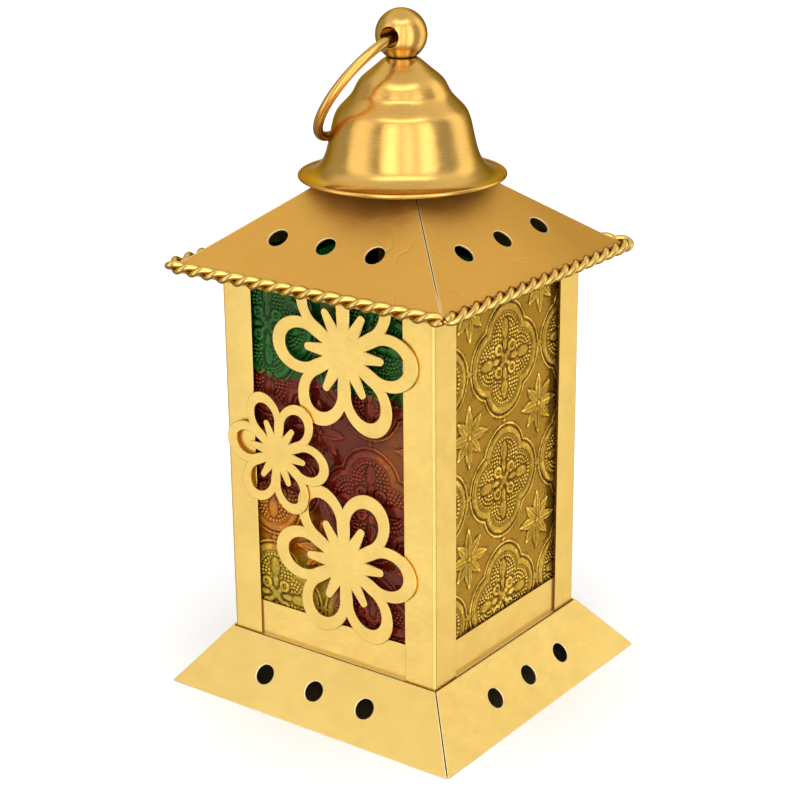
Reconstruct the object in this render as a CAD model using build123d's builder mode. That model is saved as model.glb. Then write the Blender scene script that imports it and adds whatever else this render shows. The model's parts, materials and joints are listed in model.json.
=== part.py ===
"""Square brass candle lantern: flared base, glazed body with a rear door, hipped roof, bell cap and ring."""
import os
from math import cos, floor, hypot, pi, radians, sin, sqrt, tan

from build123d import *

# Sheet metal, seams and fits, all in millimetres
sheet = 0.8  # thickness of the brass sheet
seam = 0.35  # open seam between neighbouring sheets
film = 0.15  # solder film or play between pieces that lie on each other
moving_gap = 0.35  # gap between pieces that move past each other
running = 0.05  # radial clearance of a pin in its hole

# Base
base_width = 127.2
base_height = 21.5
base_reveal = 0.95  # from the body's face out to the top edge of the base
base_hem = 6.0  # turned-in hem that the lantern stands on
floor_drop = 1.5  # floor plate below the top edge of the base

# Body
body_width = 92.0
body_height = 149.8  # length of a corner post
post_leg = 13.0
post_bend = 1.2  # outside radius of the post's fold
bottom_rail_height = 15.0
top_rail_height = 13.6

# Glass panes and the bent tabs that hold them
glass = 2.4
glass_top_gap = 4.8  # pane's top edge below the top of the posts
glass_setback = 0.9  # room at the corners for the tabs' webs
clip_sheet = 0.6
clip_wing = 5.5
clip_height = 7.0
clip_inset = 28.0  # from either end of a post to the nearer tab

# Cut-out flowers on the front: sizes of the large flower, and the small one's scale
petal_count = 6
petal_reach = 19.0  # flower's centre to the middle of a petal's oval
petal_length = 24.6
petal_width = 20.8
petal_hole_reach = 18.4
petal_hole_length = 14.6
petal_hole_width = 12.0
hole_tail = (8.6, 4.0, 15.0, 10.4)  # the hole narrows inwards: reach and width at its inner end and outer end
heart_radius = 12.0
finger = (8.0, 5.2, 15.5, 3.2)  # reach and width where it leaves the heart and where its round tip starts
flower_spacing = 78.5  # between the centres of two large flowers of these sizes
small_scale = 0.745
top_flower_lap = 6.9  # petal's end over the edge of the right post
top_flower_drop = 31.0  # centre below the tops of the posts
bottom_flower_lap = 5.7
bottom_flower_rise = 40.3  # centre above the floor plate
bottom_flower_turn = 1.5
middle_flower_lap = 11.7185  # petal's end over the edge of the left post
middle_flower_rise = 36.0  # centre above the bottom flower's
middle_flower_turn = -6.0

# Vents, punched by hand: pitch of the three holes and shift of the row on each side
vent_radius = 3.7
roof_vent_half = 42.0  # from the lantern's axis out to the row on the roof
roof_vents = {"front": (20.9, -1.9), "right": (23.4, 0.7), "back": (22.0, 0.0), "left": (22.0, 0.0)}
base_vents = {"front": (23.0, -1.4), "right": (22.0, 0.6), "back": (22.5, 0.0), "left": (22.5, 0.0)}

# Candle cup
cup_bore = 40.0
cup_height = 12.0
cup_bead = 0.9

# Rear door with its hinges and turn button
door_lap = 2.8  # door over a post's edge
door_bottom_lap = 2.5  # door over the bottom rail
door_top_lap = 1.9  # door over the top rail
door_stile = 8.0
door_corner = 2.0
door_glass_gap = 1.4  # pane's edge to the edge of the opening
tab_sheet = 0.5
tab_lip = 3.0
tab_height = 8.0
tab_inset = 26.0  # from either end of the door to the nearer tab
knuckle_radius = 1.5
knuckle_length = 4.0
hinge_pin_radius = 0.75
pin_head_radius = 1.2
pin_head_height = 0.7
leaf_sheet = 0.6
leaf_width = 7.0
hinge_inset = 22.0  # from either end of the door to the nearer hinge
latch_inset = 5.2  # rivet's centre in from the body's edge
latch_length = 17.0
latch_width = 6.0
latch_shoulder = 2.6
rivet_radius = 1.5
rivet_head_height = 1.2

# Roof
roof_pitch = 36.9  # degrees from level
eave_width = 113.8
eave_lip = 3.3  # turned-down edge behind the rope
roof_top_width = 41.0

# Twisted wire round the eave
strand = 2.4
lay_turns = 34  # turns of the two strands in the whole loop
lay_steps = 6  # sections along one turn
strand_sides = 6
rope_corner = 4.0
rope_drop = 0.5  # rope's axis below the roof's edge
rope_end_gap = 1.0

# Bell cap on its seat: radii, and heights above the seat
seat_radius = 33.0
brim_radius, brim_lift = 37.0, 0.9
brim_bead = 0.7
flare_radius, flare_height = 30.0, 3.7
foot_radius, foot_height = 26.4, 10.7
wall_radius, wall_height = 24.9, 17.3
shoulder_radius, shoulder_height = 22.7, 23.7
waist_radius, waist_height = 17.4, 29.6
cap_radius, cap_height = 15.2, 33.6
crown_radius, crown_height = 10.2, 38.2
neck_radius, dome_height = 5.4, 41.8
wall_samples = 24  # places where the sheet's thickness is set off

# Ball, ring and the rod that clamps them down
ball_radius = 9.1
ball_seat_radius = 4.9
ring_hole_radius = 3.65
ring_radius = 23.6  # to the middle of the wire
ring_wire = 3.5
ring_split = 1.0  # degrees left open where the wire's ends meet
finial_turn = 7.0  # degrees: the ball screws home with its hole a little off square
rod_radius = 2.0
rod_grip = 4.0  # thread inside the ball
rod_tail = 2.0  # thread below the nut
washer_radius = 5.5
nut_flats = 7.0
nut_height = 3.2

# Sizes that follow from the driving ones
body_half = body_width / 2
base_half = base_width / 2
base_top_half = body_half + base_reveal
floor_z = base_height - floor_drop
body_top = floor_z + body_height
bottom_rail_top = floor_z + bottom_rail_height
top_rail_bottom = body_top - top_rail_height
rail_face = body_half - sheet
rail_length = 2 * (rail_face - sheet - film)
glass_face = rail_face - sheet - film
glass_back = glass_face - glass
glass_half = glass_back - glass_setback
eave_half = eave_width / 2
roof_top_half = roof_top_width / 2
door_half = body_half - post_leg + door_lap
door_bottom = bottom_rail_top - door_bottom_lap
door_top = top_rail_bottom + door_top_lap
door_middle = (door_bottom + door_top) / 2
latch_place = (latch_inset - body_half, door_middle)  # on the back, seen from outside
pitch_sin = sin(radians(roof_pitch))
pitch_cos = cos(radians(roof_pitch))


def roof_z(half):
    """Height of the roof's outer face at a distance from the lantern's axis."""
    return body_top + film + sheet / pitch_cos + (body_half - half) * tan(radians(roof_pitch))


eave_z = roof_z(eave_half)
roof_top_z = roof_z(roof_top_half)
rope_reach = strand + running  # from the rope's axis to the outside of a strand
rope_half = eave_half + rope_reach + film
rope_z = eave_z - rope_drop
eave_diagonal = sqrt(2) * (rope_half - rope_corner) + rope_corner - rope_reach - film
seat_z = roof_top_z + sheet
dome_top_z = seat_z + dome_height
ball_seat_z = dome_top_z + film
ball_z = ball_seat_z + sqrt(ball_radius**2 - ball_seat_radius**2)

up = Vector(0, 0, 1)
side_turn = {"front": -90, "right": 0, "back": 90, "left": 180}
corner_turn = {"back_right": 0, "back_left": 90, "front_left": 180, "front_right": 270}


def heading(degrees):
    """Level direction at an angle from +X."""
    return Vector(cos(radians(degrees)), sin(radians(degrees)), 0)


def section_plane(side):
    """Plane across a side: x outwards from the lantern's axis, y up."""
    out = heading(side_turn[side])
    return Plane(origin=(0, 0, 0), x_dir=out, z_dir=out.cross(up))


def face_plane(side, distance):
    """Plane along a side: x to the right as seen from outside, y up from the ground."""
    out = heading(side_turn[side])
    return Plane(origin=out * distance, x_dir=up.cross(out), z_dir=out)


def slope_plane(side, half, height, outward, upward):
    """Plane on a sloping sheet: x along the side, z along the sheet's normal."""
    out = heading(side_turn[side])
    return Plane(origin=out * half + up * height, x_dir=up.cross(out), z_dir=out * outward + up * upward)


def corner_plane(corner, height):
    """Level plane turned so that the corner lies between its x and its y."""
    return Plane(origin=up * height, x_dir=heading(corner_turn[corner]), z_dir=up)


def mitre(side):
    """Cut both ends of a side's sheet on the lantern's diagonals, with half a seam left open at each."""
    out = heading(side_turn[side])
    along = up.cross(out)
    for end in (1, -1):
        normal = (out - along * end).normalized()
        split(bisect_by=Plane(origin=normal * (seam / 2), z_dir=normal), keep=Keep.TOP)


def nip(side):
    """Cut the tips off a roof sheet, where the rope bends round the eave's corners."""
    out = heading(side_turn[side])
    along = up.cross(out)
    for end in (1, -1):
        normal = (out + along * end).normalized()
        split(bisect_by=Plane(origin=normal * eave_diagonal, z_dir=normal), keep=Keep.BOTTOM)


def vent_row(pitch, shift):
    """Places of the three vents in a row."""
    return [(shift + pitch * step, 0) for step in (-1, 0, 1)]


def write(piece, name):
    """Label a finished piece and write its file."""
    piece.part.label = name
    export_step(piece.part, f"parts/{name}.step")


os.makedirs("parts", exist_ok=True)

# Base skirt: four sloping sheets, each with a hem turned in at the foot
skirt_run = base_half - base_top_half
skirt_length = hypot(skirt_run, base_height)
skirt_outward = base_height / skirt_length  # parts of the skirt's normal
skirt_upward = skirt_run / skirt_length


def skirt_half(height):
    """Distance of the skirt's outer face from the lantern's axis."""
    return base_half - skirt_run * height / base_height


def skirt_inner_half(height):
    """Distance of the skirt's inner face from the lantern's axis."""
    return skirt_half(height) - sheet / skirt_outward


skirt_profile = [
    (base_half, 0),
    (base_top_half, base_height),
    (base_top_half - sheet * skirt_outward, base_height - sheet * skirt_upward),
    (skirt_inner_half(sheet), sheet),
    (base_half - base_hem, sheet),
    (base_half - base_hem, 0),
]
for side, (pitch, shift) in base_vents.items():
    middle = base_height / 2
    with BuildPart() as base_panel:
        with BuildSketch(section_plane(side)):
            with BuildLine():
                Polyline(*skirt_profile, close=True)
            make_face()
        extrude(amount=base_half, both=True)
        mitre(side)
        with BuildSketch(slope_plane(side, skirt_half(middle), middle, skirt_outward, skirt_upward)):
            with Locations(*vent_row(pitch, shift)):
                Circle(vent_radius)
        extrude(amount=2 * sheet, both=True, mode=Mode.SUBTRACT)
    write(base_panel, f"base_{side}_panel")

# Floor plate, soldered in just below the top edge of the base
with BuildPart() as floor_plate:
    with BuildSketch(Plane.XY.offset(floor_z - sheet)):
        Rectangle(2 * (skirt_inner_half(floor_z) - film), 2 * (skirt_inner_half(floor_z) - film))
    extrude(amount=sheet)
write(floor_plate, "floor_plate")

# Candle cup: a shallow pan with a rolled rim, soldered to the floor plate
cup_radius = cup_bore / 2
with BuildPart() as candle_cup:
    with BuildSketch(Plane.XZ):
        with Locations((0, floor_z + film)):
            Rectangle(cup_radius + sheet, sheet, align=Align.MIN)
        with Locations((cup_radius, floor_z + film)):
            Rectangle(sheet, cup_height - cup_bead, align=Align.MIN)
        with Locations((cup_radius + cup_bead, floor_z + film + cup_height - cup_bead)):
            Circle(cup_bead)
    revolve(axis=Axis.Z)
write(candle_cup, "candle_cup")

# Corner posts: folded angles; the one beside the door's free edge carries the turn button
post_outline = [
    (body_half, body_half),
    (body_half - post_leg, body_half),
    (body_half - post_leg, rail_face),
    (rail_face, rail_face),
    (rail_face, body_half - post_leg),
    (body_half, body_half - post_leg),
]
for corner in corner_turn:
    with BuildPart() as post:
        with BuildSketch(corner_plane(corner, floor_z)) as angle:
            with BuildLine():
                Polyline(*post_outline, close=True)
            make_face()
            fillet(angle.vertices().sort_by(SortBy.DISTANCE)[-1], post_bend)
            fillet(angle.vertices().sort_by(SortBy.DISTANCE)[-3], post_bend - sheet)
        extrude(amount=body_height)
        if corner == "back_right":
            with BuildSketch(face_plane("back", body_half)):
                with Locations(latch_place):
                    Circle(rivet_radius + running)
            extrude(amount=-sheet, mode=Mode.SUBTRACT)
    write(post, f"post_{corner}")

# Rails: flat strips soldered to the inner faces of the posts
rails = {"bottom": (floor_z, bottom_rail_height), "top": (top_rail_bottom, top_rail_height)}
for level, (bottom, height) in rails.items():
    for side in side_turn:
        with BuildPart() as rail:
            with BuildSketch(face_plane(side, rail_face)):
                with Locations((0, bottom + height / 2)):
                    Rectangle(rail_length, height)
            extrude(amount=-sheet)
        write(rail, f"{level}_rail_{side}")

# Fixed panes behind the rails
glass_height = body_height - glass_top_gap
for side in ("front", "right", "left"):
    with BuildPart() as pane:
        with BuildSketch(face_plane(side, glass_face)):
            with Locations((0, floor_z + glass_height / 2)):
                Rectangle(2 * glass_half, glass_height)
        extrude(amount=-glass)
    write(pane, f"glass_{side}")

# Bent tabs in the corners: a web soldered into the post's fold, and a wing over each pane's edge
clip_back = glass_back - film - clip_sheet
web_end = rail_face - film - clip_sheet / 2
web_length = sqrt(2) * (web_end - clip_back)
clip_levels = (floor_z + clip_inset, body_top - clip_inset - clip_height)

wing_on_x = (clip_sheet, clip_wing)
wing_on_y = (clip_wing, clip_sheet)
clips = {
    "glass_clips_front": {"front_left": (wing_on_x, wing_on_y), "front_right": (wing_on_x, wing_on_y)},
    "glass_clips_back": {"back_left": (wing_on_y,), "back_right": (wing_on_x,)},
}
for name, corners in clips.items():
    with BuildPart() as clip_group:
        for corner, wings in corners.items():
            for level in clip_levels:
                with BuildSketch(corner_plane(corner, level)):
                    with Locations(Location((web_end, web_end), 45)):
                        Rectangle(web_length, clip_sheet, align=(Align.MAX, Align.CENTER))
                    with Locations((clip_back + clip_sheet, clip_back + clip_sheet)):
                        for width, depth in wings:
                            Rectangle(width, depth, align=Align.MAX)
                extrude(amount=clip_height)
    write(clip_group, name)

# Cut-out flowers, soldered over the front and cut to suit its height; the small one lies on the others
window_half = body_half - post_leg
flower_room = body_height - top_flower_drop - bottom_flower_rise
large = flower_room / flower_spacing
small = small_scale * large
petal_end = petal_reach + petal_length / 2
bottom_flower_z = floor_z + bottom_flower_rise
flowers = {  # centre, petals' turn in degrees, scale, layer of sheet
    "flower_top": (
        (window_half + top_flower_lap - petal_end * large, body_top - top_flower_drop),
        0,
        large,
        0,
    ),
    "flower_bottom": (
        (window_half + bottom_flower_lap - petal_end * large, bottom_flower_z),
        bottom_flower_turn,
        large,
        0,
    ),
    "flower_middle": (
        (petal_end * small - window_half - middle_flower_lap, bottom_flower_z + middle_flower_rise * large),
        middle_flower_turn,
        small,
        1,
    ),
}


def wedge(reaches, scale):
    """Corners of a tapered strip that points away from a flower's centre."""
    start, start_width, end, end_width = (scale * size for size in reaches)
    return [(start, -start_width / 2), (end, -end_width / 2), (end, end_width / 2), (start, start_width / 2)]


for name, (centre, turn, scale, layer) in flowers.items():
    with BuildPart() as flower:
        with BuildSketch(face_plane("front", body_half + film + layer * (sheet + film))):
            with Locations(centre):
                Circle(heart_radius * scale)
                with PolarLocations(petal_reach * scale, petal_count, turn):
                    Ellipse(petal_length / 2 * scale, petal_width / 2 * scale)
                with PolarLocations(petal_hole_reach * scale, petal_count, turn):
                    Ellipse(petal_hole_length / 2 * scale, petal_hole_width / 2 * scale, mode=Mode.SUBTRACT)
                with PolarLocations(0, petal_count, turn):
                    Polygon(*wedge(hole_tail, scale), align=None, mode=Mode.SUBTRACT)
                    Polygon(*wedge(finger, scale), align=None)
                with PolarLocations(finger[2] * scale, petal_count, turn):
                    Circle(finger[3] / 2 * scale)
        extrude(amount=sheet)
    write(flower, name)

# Rear door: a sheet frame that laps over the posts and the rails
door_height = door_top - door_bottom
door_face = body_half + moving_gap
door_front = door_face + sheet
with BuildPart() as door_frame:
    with BuildSketch(face_plane("back", door_face)):
        with Locations((0, door_middle)):
            RectangleRounded(2 * door_half, door_height, door_corner)
            Rectangle(2 * (door_half - door_stile), door_height - 2 * door_stile, mode=Mode.SUBTRACT)
    extrude(amount=sheet)
write(door_frame, "door_frame")

# The door's pane sits inside the opening, behind the frame
door_glass_half = body_half - post_leg - door_glass_gap
door_glass_height = top_rail_bottom - bottom_rail_top - 2 * door_glass_gap
with BuildPart() as door_glass:
    with BuildSketch(face_plane("back", door_face - film)):
        with Locations((0, (bottom_rail_top + top_rail_bottom) / 2)):
            Rectangle(2 * door_glass_half, door_glass_height)
    extrude(amount=-glass)
write(door_glass, "door_glass")

# Tabs from the frame, folded over the pane's long edges
tab_back = door_face - film - glass - film - tab_sheet
with BuildPart() as door_tabs:
    for level in (door_bottom + tab_inset, door_top - tab_inset - tab_height):
        for hand in (1, -1):
            inner = Align.MIN if hand > 0 else Align.MAX
            with BuildSketch(Plane.XY.offset(level)):
                with Locations((hand * (door_glass_half + film), tab_back)):
                    Rectangle(tab_sheet, door_face - tab_back, align=(inner, Align.MIN))
                with Locations((hand * (door_glass_half + film + tab_sheet), tab_back)):
                    outer = Align.MAX if hand > 0 else Align.MIN
                    Rectangle(tab_lip, tab_sheet, align=(outer, Align.MIN))
            extrude(amount=tab_height)
write(door_tabs, "door_tabs")

# Butt hinges: outer knuckles on the post, the middle one on the door
hinge_x = -(door_half + moving_gap + knuckle_radius)
hinge_y = body_half + moving_gap + knuckle_radius
knuckle_step = knuckle_length + moving_gap
hinge_span = 2 * knuckle_step + knuckle_length
leaf_clear = knuckle_radius + moving_gap
hinge_levels = (door_bottom + hinge_inset, door_top - hinge_inset - hinge_span)
with BuildPart() as hinge_post_leaves:
    for level in hinge_levels:
        for start in (level, level + 2 * knuckle_step):
            with BuildSketch(Plane.XY.offset(start)):
                with Locations((hinge_x, hinge_y)):
                    Circle(knuckle_radius)
                with Locations((hinge_x, body_half)):
                    Rectangle(leaf_width, leaf_sheet, align=(Align.MAX, Align.MIN))
                with Locations((hinge_x, hinge_y)):
                    Circle(hinge_pin_radius + running, mode=Mode.SUBTRACT)
            extrude(amount=knuckle_length)
        with BuildSketch(Plane.XY.offset(level)):
            with Locations((hinge_x - leaf_clear, body_half)):
                Rectangle(leaf_width - leaf_clear, leaf_sheet, align=(Align.MAX, Align.MIN))
        extrude(amount=hinge_span)
write(hinge_post_leaves, "hinge_post_leaves")
with BuildPart() as hinge_door_leaves:
    for level in hinge_levels:
        with BuildSketch(Plane.XY.offset(level + knuckle_step)):
            with Locations((hinge_x, hinge_y)):
                Circle(knuckle_radius)
            with Locations((hinge_x, door_front)):
                Rectangle(leaf_width, leaf_sheet, align=Align.MIN)
            with Locations((hinge_x, hinge_y)):
                Circle(hinge_pin_radius + running, mode=Mode.SUBTRACT)
        extrude(amount=knuckle_length)
        with BuildSketch(Plane.XY.offset(level)):
            with Locations((hinge_x + leaf_clear, door_front)):
                Rectangle(leaf_width - leaf_clear, leaf_sheet, align=Align.MIN)
        extrude(amount=hinge_span)
write(hinge_door_leaves, "hinge_door_leaves")
with BuildPart() as hinge_pins:
    for level in hinge_levels:
        for start, length, radius in (
            (level - pin_head_height, pin_head_height, pin_head_radius),
            (level, hinge_span, hinge_pin_radius),
            (level + hinge_span, pin_head_height, pin_head_radius),
        ):
            with BuildSketch(Plane.XY.offset(start)):
                with Locations((hinge_x, hinge_y)):
                    Circle(radius)
            extrude(amount=length)
write(hinge_pins, "hinge_pins")

# Turn button on the post, stored upright, and the shouldered rivet that it turns on
latch_back = door_front + moving_gap
with BuildPart() as latch_button:
    with BuildSketch(face_plane("back", latch_back)):
        with Locations(latch_place):
            SlotOverall(latch_length, latch_width, rotation=90)
            Circle(rivet_radius + running, mode=Mode.SUBTRACT)
    extrude(amount=sheet)
write(latch_button, "latch_button")
with BuildPart() as latch_rivet:
    for start, end, radius in (
        (rail_face - rivet_head_height, rail_face, latch_shoulder),
        (rail_face, body_half, rivet_radius),
        (body_half, latch_back - film, latch_shoulder),
        (latch_back - film, latch_back + sheet + film, rivet_radius),
        (latch_back + sheet + film, latch_back + sheet + film + rivet_head_height, latch_shoulder),
    ):
        with BuildSketch(face_plane("back", start)):
            with Locations(latch_place):
                Circle(radius)
        extrude(amount=end - start)
    fillet(latch_rivet.edges().group_by(Axis.Y)[-1], rivet_head_height / 2)
write(latch_rivet, "latch_rivet")

# Roof: four sheets with mitred hips and a lip turned down at the eave
roof_profile = [
    (eave_half, eave_z),
    (roof_top_half, roof_top_z),
    (roof_top_half - sheet / pitch_sin, roof_top_z),
    (eave_half - sheet, roof_z(eave_half - sheet) - sheet / pitch_cos),
    (eave_half - sheet, eave_z - eave_lip),
    (eave_half, eave_z - eave_lip),
]
for side, (pitch, shift) in roof_vents.items():
    with BuildPart() as roof_panel:
        with BuildSketch(section_plane(side)):
            with BuildLine():
                Polyline(*roof_profile, close=True)
            make_face()
        extrude(amount=eave_half, both=True)
        mitre(side)
        nip(side)
        with BuildSketch(slope_plane(side, roof_vent_half, roof_z(roof_vent_half), pitch_sin, pitch_cos)):
            with Locations(*vent_row(pitch, shift)):
                Circle(vent_radius)
        extrude(amount=2 * sheet, both=True, mode=Mode.SUBTRACT)
    write(roof_panel, f"roof_{side}_panel")

# Twisted wire: two strands laid round each other along a rounded square
rope_run = 2 * (rope_half - rope_corner)
rope_bend = rope_corner * pi / 2
rope_quarter = rope_run + rope_bend
rope_length = 4 * rope_quarter
lay_lead = rope_length / lay_turns


def rope_path(travel):
    """Point on the rope's axis and its outward direction, from the front right corner anticlockwise."""
    quarter = floor(travel / rope_quarter)
    rest = travel - quarter * rope_quarter - rope_bend / 2
    along = min(max(rest, 0), rope_run)
    turn = (rest - along) / rope_corner
    out = Vector(cos(turn), sin(turn), 0)
    point = Vector(rope_half - rope_corner, along - rope_run / 2, rope_z) + out * rope_corner
    return point.rotate(Axis.Z, 90 * quarter), out.rotate(Axis.Z, 90 * quarter)


def strand_plane(travel, phase):
    """Plane square to a strand, at a distance travelled along the rope."""
    point, out = rope_path(travel)
    turn = 2 * pi * travel / lay_lead + phase
    climb = pi * strand / lay_lead * (1 + running)
    heading_on = up.cross(out) + (up * cos(turn) - out * sin(turn)) * climb
    centre = point + (out * cos(turn) + up * sin(turn)) * (strand / 2 + running)
    steady = out - heading_on * (out.dot(heading_on) / heading_on.dot(heading_on))
    return Plane(origin=centre, x_dir=steady, z_dir=heading_on)


rope_sections = lay_turns * lay_steps
strand_facet = strand / 2 * cos(pi / lay_steps)
for name, phase in {"eave_wire_one": 0, "eave_wire_two": pi}.items():
    with BuildPart() as eave_wire:
        for step in range(rope_sections + 1):
            travel = rope_end_gap / 2 + (rope_length - rope_end_gap) * step / rope_sections
            with BuildSketch(strand_plane(travel, phase)):
                RegularPolygon(strand_facet, strand_sides)
        loft(ruled=True)
    write(eave_wire, name)

# Seat that closes the roof's top and carries the cap
with BuildPart() as dome_seat:
    with BuildSketch(Plane.XY.offset(roof_top_z)):
        Circle(seat_radius)
        Circle(rod_radius + running, mode=Mode.SUBTRACT)
    extrude(amount=sheet)
write(dome_seat, "dome_seat")

# Bell cap: one spun sheet with two shoulders, a flared brim and a beaded edge
dome_outline = [
    (brim_radius - brim_bead, seat_z + brim_lift + sheet / 2),
    (flare_radius, seat_z + flare_height),
    (foot_radius, seat_z + foot_height),
    (wall_radius, seat_z + wall_height),
    (shoulder_radius, seat_z + shoulder_height),
    (waist_radius, seat_z + waist_height),
    (cap_radius, seat_z + cap_height),
    (crown_radius, seat_z + crown_height),
    (neck_radius, dome_top_z),
]
with BuildPart() as bell_dome:
    with BuildSketch(Plane.XZ):
        with BuildLine():
            outside = Spline(*dome_outline, tangents=((-1, 0), (-1, 0)), tangent_scalars=(1, 0.4))
            places = [sample / wall_samples for sample in range(wall_samples + 1)]
            inside = Spline(*[outside @ t + (outside % t).rotate(Axis.Z, 90) * sheet for t in places])
            Line(outside @ 0, inside @ 0)
            Line(outside @ 1, inside @ 1)
        make_face()
        with Locations((brim_radius - brim_bead, seat_z + brim_lift)):
            Circle(brim_bead)
        with Locations((rod_radius + running, dome_top_z)):
            Rectangle(neck_radius - rod_radius - running, sheet, align=(Align.MIN, Align.MAX))
    revolve(axis=Axis.Z)
write(bell_dome, "bell_dome")

# Ball finial: flat seat, blind hole for the rod and a cross hole for the ring
hole_axis = heading(90 + finial_turn)
with BuildPart() as finial_ball:
    with BuildSketch(Plane.XZ):
        with BuildLine():
            side = CenterArc((0, ball_z), ball_radius, -90, 180)
            Line(side @ 0, side @ 1)
        make_face()
        with Locations((0, ball_seat_z)):
            Rectangle(ball_radius, ball_radius, align=(Align.MIN, Align.MAX), mode=Mode.SUBTRACT)
    revolve(axis=Axis.Z)
    with BuildSketch(Plane(origin=(0, 0, ball_z), z_dir=hole_axis)):
        Circle(ring_hole_radius)
    extrude(amount=ball_radius, both=True, mode=Mode.SUBTRACT)
    with BuildSketch(Plane.XY.offset(ball_seat_z)):
        Circle(rod_radius + running)
    extrude(amount=rod_grip, mode=Mode.SUBTRACT)
write(finial_ball, "finial_ball")

# Carrying ring, leaning on the cap: the lean is where its wire just clears the cap's outside
dome_samples = 120
dome_points = [outside @ (sample / dome_samples) for sample in range(dome_samples + 1)]
dome_line = [(point.X, point.Y) for point in dome_points]
lean_step = 0.25
ring_samples = 60


def ring_clearance(lean):
    """Least gap between the ring's wire and the cap, at an angle in degrees from hanging straight down."""
    nearest = ring_radius
    for sample in range(ring_samples + 1):
        turn = pi * sample / ring_samples
        down = ring_radius * (1 - cos(turn))
        reach = hypot(down * sin(radians(lean)), ring_radius * sin(turn))
        height = ball_z - down * cos(radians(lean))
        nearest = min(nearest, min(hypot(reach - radius, height - level) for radius, level in dome_line))
    return nearest - ring_wire / 2


ring_lean = 90.0
while ring_clearance(ring_lean - lean_step) >= moving_gap:
    ring_lean -= lean_step
ring_down = heading(180 + finial_turn) * sin(radians(ring_lean)) - up * cos(radians(ring_lean))
ring_centre = Vector(0, 0, ball_z) + ring_down * ring_radius
with BuildPart() as carrying_ring:
    with BuildSketch(Plane(origin=ring_centre + hole_axis * ring_radius, x_dir=hole_axis, z_dir=ring_down)):
        Circle(ring_wire / 2)
    revolve(
        axis=Axis(ring_centre, hole_axis.cross(ring_down)),
        revolution_arc=360 - ring_split,
    )
write(carrying_ring, "carrying_ring")

# Rod, washer and nut that pull the ball and the cap down on the roof
nut_top = roof_top_z - sheet
with BuildPart() as finial_rod:
    with BuildSketch(Plane.XY.offset(nut_top - nut_height - rod_tail)):
        Circle(rod_radius)
    extrude(amount=ball_seat_z + rod_grip - film - nut_top + nut_height + rod_tail)
write(finial_rod, "finial_rod")
with BuildPart() as rod_washer:
    with BuildSketch(Plane.XY.offset(nut_top)):
        Circle(washer_radius)
        Circle(rod_radius + running, mode=Mode.SUBTRACT)
    extrude(amount=sheet)
write(rod_washer, "rod_washer")
with BuildPart() as rod_nut:
    with BuildSketch(Plane.XY.offset(nut_top - nut_height)):
        RegularPolygon(nut_flats / 2, 6, major_radius=False)
        Circle(rod_radius + running, mode=Mode.SUBTRACT)
    extrude(amount=nut_height)
write(rod_nut, "rod_nut")
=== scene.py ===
"""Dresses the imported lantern: satin brass, figured coloured glass, a twisted wire eave and studio light."""
import json
from math import cos, floor, pi, radians, sin

import bmesh
import bpy
import numpy as np
from mathutils import Matrix, Vector


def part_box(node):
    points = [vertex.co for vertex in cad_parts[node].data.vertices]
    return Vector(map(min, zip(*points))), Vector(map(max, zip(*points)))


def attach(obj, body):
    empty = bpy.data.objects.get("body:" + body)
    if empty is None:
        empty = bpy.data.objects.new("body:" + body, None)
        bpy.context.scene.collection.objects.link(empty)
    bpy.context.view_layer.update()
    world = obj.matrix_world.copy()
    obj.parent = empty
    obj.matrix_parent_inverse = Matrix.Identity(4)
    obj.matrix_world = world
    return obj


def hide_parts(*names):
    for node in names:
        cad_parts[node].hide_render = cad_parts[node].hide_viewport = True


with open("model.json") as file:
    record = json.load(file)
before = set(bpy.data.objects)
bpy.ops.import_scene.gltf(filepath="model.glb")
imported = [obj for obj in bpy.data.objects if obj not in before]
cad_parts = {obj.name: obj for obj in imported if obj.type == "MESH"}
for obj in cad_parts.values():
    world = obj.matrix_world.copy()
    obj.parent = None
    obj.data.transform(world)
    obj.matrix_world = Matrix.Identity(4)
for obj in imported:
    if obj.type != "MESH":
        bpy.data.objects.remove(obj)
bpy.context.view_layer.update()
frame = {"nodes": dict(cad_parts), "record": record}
nodes = frame["nodes"]
MM = 0.001
UP = Vector((0, 0, 1))

# Camera, worked out from the photograph
IMAGE_WIDTH = 800
FOCAL_PIXELS = 1929.1
CENTRE_OFF_RIGHT = 4.4  # pixels from the image's middle to the lens axis
CENTRE_OFF_DOWN = 6.0
CAMERA_AZIMUTH = 36.21
CAMERA_PITCH = 19.41
CAMERA_ROLL = -0.49
CAMERA_DISTANCE = 708.9 * MM
LOOK_AT = Vector((0, 0, 105.8 * MM))
SENSOR = 36.0

# Studio light as the brass mirrors it: strips all round, a skylight, a darker ceiling and a dark table
STRIPS = (  # azimuth from the front to the right and half width, both in degrees, and level
    (-34, 18, 1.28),
    (18, 11, 2.2),
    (46, 7, 1.7),
    (76, 12, 1.95),
    (146, 17, 1.26),
    (222, 16, 1.0),
    (275, 10, 0.48),
)
STRIP_EDGE = 7  # degrees
STRIP_FOOT, STRIP_TOP = (-0.80, -0.55), (0.52, 0.74)  # where strips fade; a rise is a sine of elevation
BETWEEN_STRIPS = 0.42
CEILING_RISE, CEILING_LEVEL = (0.62, 0.98), (0.92, 0.70)
NADIR_RISE, NADIR_SHARE = (-0.6, 0.0), 0.30
SKYLIGHT_AZIMUTH, SKYLIGHT_HALF, SKYLIGHT_EDGE = 38, 58, 14  # degrees
SKYLIGHT_LOW, SKYLIGHT_HIGH, SKYLIGHT_SOFT = 0.79, 0.90, 0.03  # rises of its two sides
SKYLIGHT_LEVEL = 1.9
SOFTBOX_SIDE, SOFTBOX_HEIGHT, SOFTBOX_POWER = 4.0, 2.6, 40

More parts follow.
